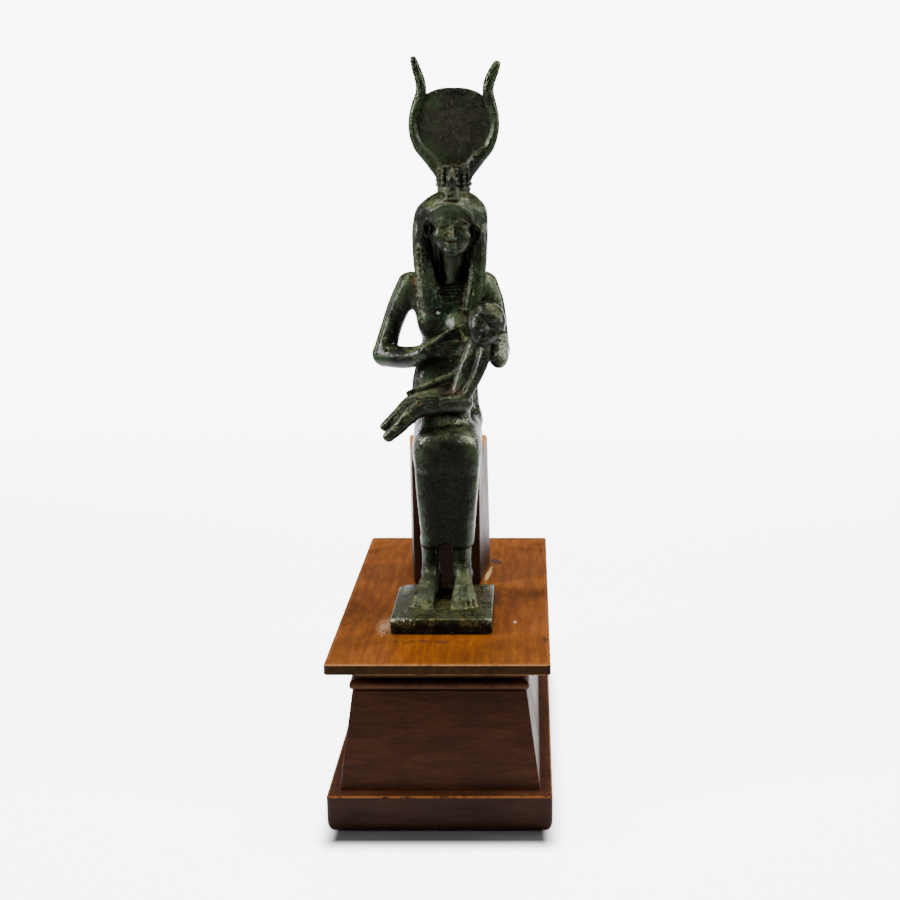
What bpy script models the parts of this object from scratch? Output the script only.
"""Cast bronze of a seated goddess nursing a child, on its wooden display base.

Metres, +Z up, the figure looks along -Y. The origin is the centre of the plinth's underside.
The bronze rests on the top slab by its foot plate and sits on a wooden seat block.
"""

import math

import bmesh
import bpy
import numpy as np
from mathutils import Vector

MM = 0.001
GAP = 0.3 * MM  # left between two pieces that rest on each other

# The wooden base, from the floor up.
PLINTH_WIDTH = 76.6 * MM
PLINTH_DEPTH = 134.6 * MM
PLINTH_HEIGHT = 13.8 * MM
PLINTH_FOOT_RADIUS = 4.5 * MM
PLINTH_EDGE = 0.7 * MM
BODY_MARGIN = 4.1 * MM  # plinth left showing round the foot of the body
BODY_HEIGHT = 43.2 * MM
BODY_BATTER = 4.7 * MM  # how far each side leans in over the battered height
BEAD_BAND = 9.0 * MM  # height of the moulding under the slab
BEAD_RADIUS = 1.9 * MM
BEAD_PROUD = 0.9 * MM
BEAD_QUIRK = 0.3 * MM  # flat between the battered side and the bead
FILLET_INSET = 0.35 * MM  # how far the fillet stands in from the battered side's top
FILLET_RISE = 0.4 * MM
SLAB_WIDTH = 75.0 * MM
SLAB_DEPTH = 133.0 * MM
SLAB_THICKNESS = 3.8 * MM
SLAB_EDGE = 0.5 * MM

# The bronze. Its carving is set out in hundred-and-ninety-fifths of its height, about a millimetre each.
FIGURE_HEIGHT = 195.5 * MM
FIGURE_UNITS = 195.5
UNIT = FIGURE_HEIGHT / FIGURE_UNITS
SKIN_VOXEL = 0.62 * UNIT
SKIN_TRIANGLES = 8200
RING_POINTS = 28

# The foot plate under her feet, cast in one with the figure.
PLATE_WIDTH = 35.4 * MM
PLATE_DEPTH = 34.8 * MM
PLATE_HEIGHT = 5.5 * MM
PLATE_FRONT = -41.2 * UNIT
PLATE_SHIFT = -0.3 * UNIT
PLATE_EDGE = 0.5 * MM
PLATE_CORNER = 2.2 * MM

# The wooden block that she sits on. It widens to the back and its top rises to the back.
SEAT_FRONT = 7.8 * UNIT
SEAT_HEIGHT = 49.4 * UNIT
SEAT_RISE = 0.17  # rise of the top for each unit of depth
BLOCK_DEPTH = 26.0 * MM
BLOCK_FRONT_WIDTH = 25.4 * MM
BLOCK_REAR_WIDTH = 31.8 * MM
BLOCK_SHIFT = -1.3 * UNIT
BLOCK_LEAN = 0.9 * MM  # the right rear edge leans in by this much at the top
BLOCK_EDGE = 0.5 * MM

SLAB_TOP = PLINTH_HEIGHT + BODY_HEIGHT + SLAB_THICKNESS + 2 * GAP
FIGURE_FLOOR = SLAB_TOP + GAP

COLOURS = {
    "bronze": ((0.035, 0.05, 0.032, 1.0), 0.38, 1.0),
    "varnished_top": ((0.33, 0.12, 0.025, 1.0), 0.4, 0.0),
    "dark_wood": ((0.085, 0.03, 0.014, 1.0), 0.4, 0.0),
    "seat_wood": ((0.14, 0.055, 0.025, 1.0), 0.5, 0.0),
}


def clear_scene():
    """Removes every object that the scene starts with."""
    for thing in list(bpy.data.objects):
        bpy.data.objects.remove(thing, do_unlink=True)


def finish_of(name):
    """The named Principled material, made once."""
    found = bpy.data.materials.get(name)
    if found:
        return found
    colour, roughness, metallic = COLOURS[name]
    made = bpy.data.materials.new(name)
    made.use_nodes = True
    shader = made.node_tree.nodes["Principled BSDF"]
    shader.inputs["Base Color"].default_value = colour
    shader.inputs["Roughness"].default_value = roughness
    shader.inputs["Metallic"].default_value = metallic
    return made


def add_object(name, mesh, finish=None, helper=False):
    """Links a mesh as a named object. A helper is only a cutter or a tool and isn't part of the model."""
    thing = bpy.data.objects.new(name, mesh)
    bpy.context.scene.collection.objects.link(thing)
    if finish:
        mesh.materials.append(finish_of(finish))
    if helper:
        thing.hide_render = True
        thing.display_type = "WIRE"
    return thing


def mesh_of(name, shape):
    """Turns a bmesh into a mesh whose faces point outwards."""
    bmesh.ops.recalc_face_normals(shape, faces=shape.faces)
    mesh = bpy.data.meshes.new(name)
    shape.to_mesh(mesh)
    shape.free()
    return mesh


def add_loft(shape, rings):
    """Skins a list of equal rings of points with quads and closes both ends."""
    made = [[shape.verts.new(point) for point in ring] for ring in rings]
    count = len(made[0])
    for lower, upper in zip(made, made[1:]):
        for i in range(count):
            j = (i + 1) % count
            shape.faces.new((lower[i], lower[j], upper[j], upper[i]))
    shape.faces.new(reversed(made[0]))
    shape.faces.new(made[-1])


def rectangle(half_x, half_y, z):
    """The four corners of a level rectangle centred on the Z axis."""
    return [(-half_x, -half_y, z), (half_x, -half_y, z), (half_x, half_y, z), (-half_x, half_y, z)]


def bevelled(thing, width, segments, angle=40.0):
    """Rounds the edges sharper than the angle."""
    bevel = thing.modifiers.new("rounded_edges", "BEVEL")
    bevel.width = width
    bevel.segments = segments
    bevel.limit_method = "ANGLE"
    bevel.angle_limit = math.radians(angle)
    return thing


# The wooden base

def plinth():
    """The bottom board: sharp above, with its lower edges rounded over to a narrower foot."""
    half_x, half_y = PLINTH_WIDTH / 2, PLINTH_DEPTH / 2
    profile = []
    for step in range(5):
        turn = math.radians(90.0 * step / 4)
        inset = PLINTH_FOOT_RADIUS * (1 - math.sin(turn)) * 0.5
        profile.append((inset, PLINTH_FOOT_RADIUS * (1 - math.cos(turn))))
    profile += [(0.0, PLINTH_HEIGHT - PLINTH_EDGE), (PLINTH_EDGE * 0.7, PLINTH_HEIGHT)]
    shape = bmesh.new()
    add_loft(shape, [rectangle(half_x - inset, half_y - inset, z) for inset, z in profile])
    return add_object("plinth", mesh_of("plinth", shape), "dark_wood")


def body_profile():
    """(inset from the foot of the body, height above it) up the battered side and round the bead."""
    battered = BODY_HEIGHT - BEAD_BAND
    profile = [(0.0, 0.0), (BODY_BATTER, battered)]
    bead_height = battered + BEAD_RADIUS + BEAD_QUIRK
    centre = BODY_BATTER + BEAD_RADIUS - BEAD_PROUD
    for step in range(7):
        turn = math.radians(-90.0 + 180.0 * step / 6)
        profile.append((centre - BEAD_RADIUS * math.cos(turn), bead_height + BEAD_RADIUS * math.sin(turn)))
    profile += [(BODY_BATTER + FILLET_INSET, bead_height + BEAD_RADIUS + FILLET_RISE)]
    profile += [(BODY_BATTER + FILLET_INSET, BODY_HEIGHT)]
    return profile


def pedestal_body():
    """The battered block with the bead moulding worked round its top."""
    half_x = PLINTH_WIDTH / 2 - BODY_MARGIN
    half_y = PLINTH_DEPTH / 2 - BODY_MARGIN
    foot = PLINTH_HEIGHT + GAP
    shape = bmesh.new()
    add_loft(shape, [rectangle(half_x - inset, half_y - inset, foot + z) for inset, z in body_profile()])
    return add_object("pedestal_body", mesh_of("pedestal_body", shape), "dark_wood")


def top_slab():
    """The thin top board that overhangs the moulding."""
    shape = bmesh.new()
    low, high = SLAB_TOP - SLAB_THICKNESS, SLAB_TOP
    half_x, half_y = SLAB_WIDTH / 2, SLAB_DEPTH / 2
    add_loft(shape, [rectangle(half_x, half_y, low), rectangle(half_x, half_y, high)])
    slab = add_object("top_slab", mesh_of("top_slab", shape), "varnished_top")
    return bevelled(slab, SLAB_EDGE, 2)


def seat_top(y):
    """Height of the seat block's sloping top at depth y, above the figure's own floor."""
    return SEAT_HEIGHT + SEAT_RISE * (y - SEAT_FRONT)


def seat_block():
    """The upright block behind her legs, on which she sits."""
    shape = bmesh.new()
    rear = SEAT_FRONT + BLOCK_DEPTH
    plan = [
        (BLOCK_SHIFT - BLOCK_FRONT_WIDTH / 2, SEAT_FRONT),
        (BLOCK_SHIFT + BLOCK_FRONT_WIDTH / 2, SEAT_FRONT),
        (BLOCK_SHIFT + BLOCK_REAR_WIDTH / 2, rear),
        (BLOCK_SHIFT - BLOCK_REAR_WIDTH / 2, rear),
    ]
    lower = [(x, y, FIGURE_FLOOR) for x, y in plan]
    upper = [(x, y, FIGURE_FLOOR + seat_top(y) - GAP) for x, y in plan]
    upper[2] = (upper[2][0] - BLOCK_LEAN, upper[2][1], upper[2][2])
    add_loft(shape, [lower, upper])
    block = add_object("seat_block", mesh_of("seat_block", shape), "seat_wood")
    return bevelled(block, BLOCK_EDGE, 1)


# The bronze figure. Each station of a limb is (x, y, z, half width, half thickness) in figure units,
# with z measured from the underside of the foot plate.

ROBE_LEGS = [
    (0.6, -14.6, 26.0, 9.0, 5.8),
    (0.8, -14.8, 32.0, 9.3, 6.2),
    (1.0, -15.2, 40.0, 10.4, 7.2),
    (1.1, -15.4, 50.0, 11.0, 7.6),
    (1.0, -15.4, 59.0, 10.8, 7.6),
    (0.9, -15.2, 64.0, 10.2, 7.0),
]
KNEES = [
    (0.9, -17.0, 59.4, 10.4, 8.2),
    (0.8, -12.0, 59.6, 10.8, 8.6),
    (0.4, -4.0, 60.0, 11.0, 8.8),
]
HIPS = [
    (0.8, -14.0, 59.8, 10.4, 8.2),
    (0.4, -7.0, 60.2, 11.6, 9.0),
    (-0.2, 0.0, 60.4, 12.6, 10.0),
    (-1.2, 8.0, 60.2, 13.4, 11.4),
    (-1.4, 14.0, 60.4, 13.2, 11.8),
    (-1.4, 17.6, 61.2, 10.8, 10.4),
]
TORSO = [
    (-1.0, 12.0, 62.0, 13.8, 8.6),
    (-1.1, 12.0, 70.0, 13.4, 8.4),
    (-1.2, 12.0, 78.0, 12.4, 7.6),
    (-1.1, 12.0, 85.0, 10.9, 6.8),
    (-1.0, 12.0, 93.5, 8.6, 6.0),
    (-0.8, 12.0, 99.0, 9.0, 6.4),
    (-0.5, 12.0, 105.0, 11.4, 7.2),
    (-0.2, 12.0, 111.0, 13.4, 7.2),
    (0.2, 12.0, 116.0, 13.6, 6.0),
    (0.4, 12.0, 118.6, 10.0, 4.6),
]
NECK = [(1.2, 11.0, 116.0, 4.6, 4.6), (2.6, 8.5, 124.0, 4.0, 4.2), (3.0, 7.0, 130.0, 4.2, 4.5)]
HEAD = [
    (3.1, 0.6, 127.4, 3.3, 3.2),
    (3.1, 1.4, 129.0, 5.2, 5.0),
    (3.1, 2.4, 131.8, 6.6, 6.6),
    (3.2, 3.4, 136.0, 7.3, 7.9),
    (3.2, 4.1, 141.0, 7.3, 8.3),
    (3.2, 4.8, 145.5, 6.2, 7.6),
]
WIG = [
    (0.4, 15.4, 105.0, 10.6, 4.6),
    (0.4, 15.0, 108.0, 11.0, 5.4),
    (0.6, 14.0, 114.0, 11.4, 6.4),
    (1.0, 12.6, 120.0, 12.0, 7.4),
    (1.4, 11.2, 126.0, 13.2, 8.4),
    (1.6, 10.4, 131.0, 13.8, 9.0),
    (1.8, 9.6, 136.0, 13.7, 9.8),
    (2.2, 8.2, 140.0, 13.3, 10.6),
    (2.6, 7.2, 143.6, 12.2, 10.4),
    (3.1, 6.8, 146.8, 9.2, 8.8),
    (3.3, 6.6, 148.2, 6.2, 6.2),
]
LAPPETS = [
    [
        (-8.4, 7.6, 131.0, 3.4, 3.2),
        (-7.7, 5.6, 124.0, 3.6, 2.8),
        (-6.6, 4.4, 117.0, 3.7, 2.3),
        (-5.6, 3.8, 110.5, 3.5, 2.0),
        (-5.4, 3.9, 108.6, 3.3, 1.8),
    ],
    [
        (12.0, 7.6, 130.0, 3.3, 3.2),
        (11.8, 5.6, 123.0, 3.3, 2.8),
        (10.9, 4.4, 116.0, 3.2, 2.3),
        (9.9, 3.8, 109.5, 3.0, 2.0),
        (9.6, 3.9, 107.6, 2.8, 1.8),
    ],
]
RIGHT_ARM = [
    (-12.8, 12.0, 114.6, 5.6, 5.2),
    (-16.6, 12.0, 109.0, 4.5, 4.5),
    (-19.0, 12.0, 104.0, 4.0, 4.1),
    (-21.2, 11.6, 97.5, 3.9, 4.0),
    (-22.9, 10.6, 90.0, 4.4, 4.4),
]
RIGHT_FOREARM = [
    (-22.8, 10.4, 89.8, 4.5, 4.4),
    (-16.0, 5.0, 89.6, 4.1, 4.1),
    (-10.0, 0.2, 91.0, 3.7, 3.7),
    (-4.8, -3.0, 94.0, 2.9, 2.8),
]
RIGHT_HAND = [
    (-5.0, -2.9, 94.4, 2.7, 2.2),
    (-1.5, -3.9, 96.4, 3.0, 1.7),
    (3.0, -3.8, 98.6, 2.9, 1.4),
    (8.0, -3.4, 100.2, 2.4, 1.3),
    (10.4, -4.6, 99.0, 2.4, 1.4),
]
LEFT_ARM = [
    (13.4, 12.0, 114.8, 5.6, 5.2),
    (16.4, 12.0, 108.5, 4.7, 4.6),
    (17.8, 12.4, 101.0, 4.3, 4.3),
    (18.6, 12.0, 91.0, 4.4, 4.5),
]
LEFT_FOREARM = [
    (18.6, 11.8, 90.8, 4.3, 4.4),
    (19.0, 4.0, 90.2, 4.0, 4.0),
    (19.3, -3.0, 90.6, 3.5, 3.6),
    (19.2, -7.4, 92.4, 3.7, 4.2),
]
LEFT_FINGERS = [
    [
        (21.2 - 0.7 * i, -6.2 - 0.5 * i, 98.0 - 1.75 * i, 1.05, 1.05),
        (20.0 - 0.7 * i, -10.2 - 0.3 * i, 99.2 - 1.75 * i, 1.05, 1.05),
        (17.4 - 0.7 * i, -12.6 - 0.1 * i, 99.8 - 1.6 * i, 0.95, 0.95),
    ]
    for i in range(4)
]
CHILD_TRUNK = [
    (11.4, -7.6, 93.2, 4.2, 3.6),
    (9.4, -8.2, 88.0, 4.3, 3.8),
    (7.0, -9.0, 82.0, 4.0, 3.9),
    (5.6, -9.8, 76.6, 4.6, 4.6),
]
CHILD_NECK = [(13.4, -7.8, 99.0, 3.0, 3.0), (12.2, -7.6, 94.0, 3.0, 3.0)]
CHILD_HEAD_CENTRE = (15.0, -8.0, 103.9)
CHILD_HEAD_RADII = (7.0, 6.2, 7.6)
CHILD_NEAR_ARM = [
    (14.0, -10.2, 93.2, 2.5, 2.5),
    (11.0, -12.6, 85.6, 2.1, 2.1),
    (7.0, -14.6, 78.4, 1.9, 1.9),
    (0.2, -17.8, 77.4, 1.7, 1.6),
    (-6.6, -20.2, 77.2, 1.8, 1.3),
]
CHILD_FAR_ARM = [
    (9.0, -5.4, 92.0, 2.1, 2.1),
    (3.8, -8.6, 87.6, 1.8, 1.8),
    (-3.0, -12.2, 85.0, 1.6, 1.6),
    (-10.6, -15.4, 82.4, 1.9, 1.5),
]
CHILD_NEAR_LEG = [
    (5.6, -11.0, 76.0, 4.3, 4.3),
    (-1.5, -15.6, 75.8, 3.7, 3.6),
    (-8.8, -19.2, 75.0, 3.2, 3.2),
    (-14.0, -20.4, 70.4, 2.7, 2.7),
    (-17.8, -21.0, 67.2, 2.1, 2.1),
    (-20.0, -21.4, 65.2, 1.7, 1.5),
]
CHILD_FAR_LEG = [
    (4.0, -9.0, 78.6, 3.6, 3.6),
    (-3.5, -12.6, 78.6, 3.2, 3.2),
    (-11.0, -15.4, 77.8, 2.6, 2.6),
    (-16.2, -16.6, 73.4, 2.1, 2.1),
    (-20.2, -17.2, 69.8, 1.6, 1.6),
    (-22.2, -17.6, 67.8, 1.3, 1.2),
]
LAP_FILL = [(4.0, -10.0, 72.0, 5.2, 4.0), (-6.5, -17.0, 71.0, 3.6, 3.2)]
ANKLES = [
    [(-5.7, -13.6, 8.0, 3.2, 3.4), (-5.7, -14.0, 15.0, 3.2, 3.5), (-5.2, -14.4, 24.0, 3.9, 4.6)],
    [(6.0, -13.6, 8.0, 3.2, 3.4), (6.0, -14.0, 15.0, 3.2, 3.5), (5.7, -14.4, 24.0, 3.9, 4.6)],
]
FEET = [
    [
        (-5.6, -9.6, 8.4, 2.9, 3.4),
        (-5.8, -14.0, 9.0, 3.2, 4.0),
        (-6.4, -19.5, 8.0, 3.5, 3.2),
        (-7.2, -24.4, 6.9, 3.9, 2.2),
        (-8.0, -28.2, 6.2, 4.1, 1.6),
    ],
    [
        (5.9, -9.6, 8.4, 2.9, 3.4),
        (6.0, -14.0, 9.0, 3.2, 4.0),
        (6.3, -19.5, 8.0, 3.7, 3.2),
        (6.8, -24.4, 6.9, 4.2, 2.2),
        (7.1, -28.2, 6.2, 4.6, 1.6),
    ],
]
MODIUS = [(3.4, 6.6, 147.0, 6.2, 6.2), (3.5, 6.8, 150.5, 5.7, 5.7), (3.7, 7.0, 156.5, 5.7, 5.2)]
COBRA = [
    (3.2, -2.6, 142.0, 2.8, 1.0),
    (3.3, -2.4, 146.0, 3.1, 1.3),
    (3.4, -1.2, 150.5, 2.7, 1.5),
    (3.5, -0.4, 154.0, 1.8, 1.5),
    (3.5, -0.6, 156.4, 1.0, 1.2),
]
DISC_CENTRE = (3.9, 7.0, 170.2)
DISC_RADIUS = 14.3
DISC_THICKNESS = 3.0
DISC_FLATTENING = 2.6  # power of the squared-off upper half, 2 being round
LEFT_HORN = [
    (2.5, 7.0, 156.5, 3.0, 1.9),
    (-4.2, 7.0, 159.9, 2.3, 1.8),
    (-8.8, 7.0, 164.4, 1.8, 1.8),
    (-10.8, 7.0, 171.0, 1.4, 1.8),
    (-9.9, 7.0, 177.0, 1.5, 1.8),
    (-7.6, 7.0, 182.6, 1.7, 1.8),
    (-7.7, 6.9, 186.6, 1.6, 1.7),
    (-9.2, 6.8, 191.0, 1.4, 1.5),
    (-10.1, 6.8, 194.2, 1.1, 1.2),
]
RIGHT_HORN = [
    (5.0, 7.0, 156.5, 3.0, 1.9),
    (11.8, 7.0, 159.9, 2.3, 1.8),
    (16.2, 7.0, 164.4, 1.8, 1.8),
    (18.5, 7.0, 171.0, 1.4, 1.8),
    (17.9, 7.0, 177.0, 1.5, 1.8),
    (16.2, 7.0, 182.6, 1.8, 1.8),
    (16.6, 6.9, 186.6, 1.9, 1.8),
    (18.4, 6.8, 190.4, 1.7, 1.6),
    (19.7, 6.8, 192.6, 1.3, 1.3),
]
EARS = [((-6.0, 0.6, 137.1), (1.5, 1.4, 2.9)), ((12.0, 0.6, 135.4), (1.5, 1.4, 2.9))]
BREASTS = [((-5.6, 7.6, 101.6), (4.0, 3.4, 4.4)), ((5.6, 7.4, 102.0), (4.2, 3.8, 4.4))]
NOSE = [(3.1, -4.2, 138.8, 0.8, 0.8), (3.1, -5.0, 134.8, 1.4, 1.0)]
CAP_STEPS = 3


def squircle(power):
    """Unit ring of points: an ellipse at power 2, squarer above it."""
    turns = np.linspace(0.0, 2 * math.pi, RING_POINTS, endpoint=False)
    cosines, sines = np.cos(turns), np.sin(turns)
    root = 2.0 / power
    return np.sign(cosines) * abs(cosines) ** root, np.sign(sines) * abs(sines) ** root


def limb_rings(stations, across, power, level, cap):
    """Rings across a limb through its stations, with a rounded cap at each end. Level rings lie flat."""
    table = np.array(stations, float)
    points, sizes = table[:, :3], table[:, 3:]
    tangents = np.gradient(points, axis=0)
    tangents /= np.linalg.norm(tangents, axis=1)[:, None]
    if level:
        tangents[:] = (0.0, 0.0, 1.0)
    sides = np.array(across, float) - (tangents @ np.array(across, float))[:, None] * tangents
    sides /= np.linalg.norm(sides, axis=1)[:, None]
    fronts = np.cross(tangents, sides)
    ring_x, ring_y = squircle(power)

    def ring(i, along=0.0, shrink=1.0):
        centre = points[i] + tangents[i] * along
        width, depth = sizes[i] * shrink
        return centre + width * ring_x[:, None] * sides[i] + depth * ring_y[:, None] * fronts[i]

    turns = [math.radians(90.0 * step / (CAP_STEPS + 0.4)) for step in range(CAP_STEPS, 0, -1)]
    start = [ring(0, -cap * sizes[0].min() * math.sin(t), math.cos(t)) for t in turns]
    end = [ring(-1, cap * sizes[-1].min() * math.sin(t), math.cos(t)) for t in reversed(turns)]
    return start + [ring(i) for i in range(len(points))] + end


def smoothed(stations, rounds=2):
    """The same limb with stations added between, on a smooth curve through the given ones."""
    table = np.array(stations, float)
    for _ in range(rounds):
        padded = np.vstack([2 * table[0] - table[1], table, 2 * table[-1] - table[-2]])
        between = (9 * (padded[1:-2] + padded[2:-1]) - padded[:-3] - padded[3:]) / 16
        joined = np.empty((2 * len(table) - 1, table.shape[1]))
        joined[0::2] = table
        joined[1::2] = between
        table = joined
    return table


def add_limb(shape, stations, across=(1.0, 0.0, 0.0), power=2.0, level=False, cap=1.0):
    """Adds one closed limb to the shape, in figure units scaled to metres."""
    rings = limb_rings(smoothed(stations), across, power, level, cap)
    add_loft(shape, [[Vector(point * UNIT) for point in ring] for ring in rings])


def add_ball(shape, centre, radii):
    """Adds one ellipsoid."""
    made = bmesh.ops.create_icosphere(shape, subdivisions=3, radius=1.0)
    for vertex in made["verts"]:
        vertex.co = Vector(c + r * v for c, r, v in zip(centre, radii, vertex.co)) * UNIT


def add_disc(shape):
    """Adds the sun disc: a plate a little thicker at its middle, round below and squarer between the horns."""
    x, y, z = DISC_CENTRE
    rim, middle = DISC_THICKNESS / 2 * 0.7, DISC_THICKNESS / 2
    shares = [(0.3, -middle), (0.75, -middle * 0.93), (0.97, -rim), (1.0, 0.0)]
    shares += [(share, -offset) for share, offset in reversed(shares[:3])]
    turns = np.linspace(0.0, 2 * math.pi, 48, endpoint=False)
    cosines, sines = np.cos(turns), np.sin(turns)
    powers = np.where(sines > 0, DISC_FLATTENING, 2.0)
    reach = DISC_RADIUS * (abs(cosines) ** powers + abs(sines) ** powers) ** (-1 / powers)
    rings = []
    for share, offset in shares:
        radii = reach * share
        ring = zip(x + radii * cosines, z + radii * sines)
        rings.append([Vector((across, y + offset, up)) * UNIT for across, up in ring])
    add_loft(shape, rings)


def figure_shape():
    """Every limb of mother and child as overlapping closed shells."""
    shape = bmesh.new()
    add_limb(shape, ROBE_LEGS, power=3.0, level=True, cap=0.3)
    add_limb(shape, KNEES, power=3.6)
    add_limb(shape, HIPS, power=2.1)
    add_limb(shape, TORSO, power=2.4, level=True, cap=0.6)
    add_limb(shape, NECK)
    add_limb(shape, HEAD, power=2.1, level=True, cap=0.5)
    add_limb(shape, WIG, power=2.3, level=True, cap=0.2)
    add_limb(shape, MODIUS)
    add_limb(shape, COBRA, power=2.3)
    add_limb(shape, NOSE)
    add_limb(shape, CHILD_TRUNK)
    add_limb(shape, CHILD_NECK)
    add_limb(shape, LAP_FILL)
    for limb in LAPPETS + ANKLES:
        add_limb(shape, limb, power=2.6)
    for limb in FEET:
        add_limb(shape, limb, power=2.3)
    for limb in (RIGHT_ARM, RIGHT_FOREARM, LEFT_ARM, LEFT_FOREARM, LEFT_HORN, RIGHT_HORN):
        add_limb(shape, limb, across=(1.0, 0.2, 0.1))
    add_limb(shape, RIGHT_HAND, across=(0.0, 0.2, 1.0), power=2.4)
    for limb in LEFT_FINGERS + [CHILD_NEAR_ARM, CHILD_FAR_ARM, CHILD_NEAR_LEG, CHILD_FAR_LEG]:
        add_limb(shape, limb, across=(0.1, 0.2, 1.0))
    add_ball(shape, CHILD_HEAD_CENTRE, CHILD_HEAD_RADII)
    for centre, radii in EARS + BREASTS:
        add_ball(shape, centre, radii)
    add_disc(shape)
    return shape


def foot_plate():
    """The plate under the feet: a box with its rear left corner worn round."""
    half_x = PLATE_WIDTH / 2
    front, rear = PLATE_FRONT, PLATE_FRONT + PLATE_DEPTH
    corner = [
        (PLATE_SHIFT - half_x + PLATE_CORNER * (1 - math.cos(t)), rear - PLATE_CORNER * (1 - math.sin(t)))
        for t in np.linspace(math.pi / 2, 0.0, 5)
    ]
    plan = [(PLATE_SHIFT - half_x, front), (PLATE_SHIFT + half_x, front), (PLATE_SHIFT + half_x, rear)]
    shape = bmesh.new()
    add_loft(shape, [[(x, y, z) for x, y in plan + corner] for z in (0.0, PLATE_HEIGHT)])
    plate = add_object("foot_plate_tool", mesh_of("foot_plate_tool", shape), helper=True)
    plate.location.z = FIGURE_FLOOR
    return bevelled(plate, PLATE_EDGE, 1, angle=60.0)


def seat_cutter():
    """The wedge of room under her seat that the block fills, with the gap over the block's top."""
    front, rear = SEAT_FRONT - 3.0 * UNIT, SEAT_FRONT + BLOCK_DEPTH + 10.0 * UNIT
    half = BLOCK_REAR_WIDTH
    shape = bmesh.new()
    lower = [(x, y, PLATE_HEIGHT) for x, y in ((-half, front), (half, front), (half, rear), (-half, rear))]
    upper = [(x, y, seat_top(y)) for x, y, _ in lower]
    add_loft(shape, [lower, upper])
    cutter = add_object("seat_cutter", mesh_of("seat_cutter", shape), helper=True)
    cutter.location.z = FIGURE_FLOOR
    return cutter


def bronze_figure():
    """The one casting: limbs fused to one skin, joined to the foot plate and cut flat over the seat."""
    figure = add_object("goddess_and_child", mesh_of("goddess_and_child", figure_shape()), "bronze")
    figure.location.z = FIGURE_FLOOR
    skin = figure.modifiers.new("one_skin", "REMESH")
    skin.mode = "VOXEL"
    skin.voxel_size = SKIN_VOXEL
    skin.use_smooth_shade = True
    soften = figure.modifiers.new("soften", "SMOOTH")
    soften.factor = 0.5
    soften.iterations = 3
    thin = figure.modifiers.new("fewer_faces", "DECIMATE")
    thin.ratio = thinning_ratio(figure)
    for name, tool, operation in (
        ("foot_plate", foot_plate(), "UNION"),
        ("seat", seat_cutter(), "DIFFERENCE"),
    ):
        join = figure.modifiers.new(name, "BOOLEAN")
        join.object = tool
        join.operation = operation
        join.solver = "EXACT"
    return figure


def thinning_ratio(figure):
    """Share of the skin's triangles to keep, so that the figure has about SKIN_TRIANGLES."""
    thin = figure.modifiers["fewer_faces"]
    thin.ratio = 1.0
    graph = bpy.context.evaluated_depsgraph_get()
    graph.update()
    skin = figure.evaluated_get(graph).to_mesh()
    skin.calc_loop_triangles()
    return min(1.0, SKIN_TRIANGLES / len(skin.loop_triangles))


def build():
    """Makes every piece of the object."""
    clear_scene()
    plinth()
    pedestal_body()
    top_slab()
    seat_block()
    bronze_figure()


build()
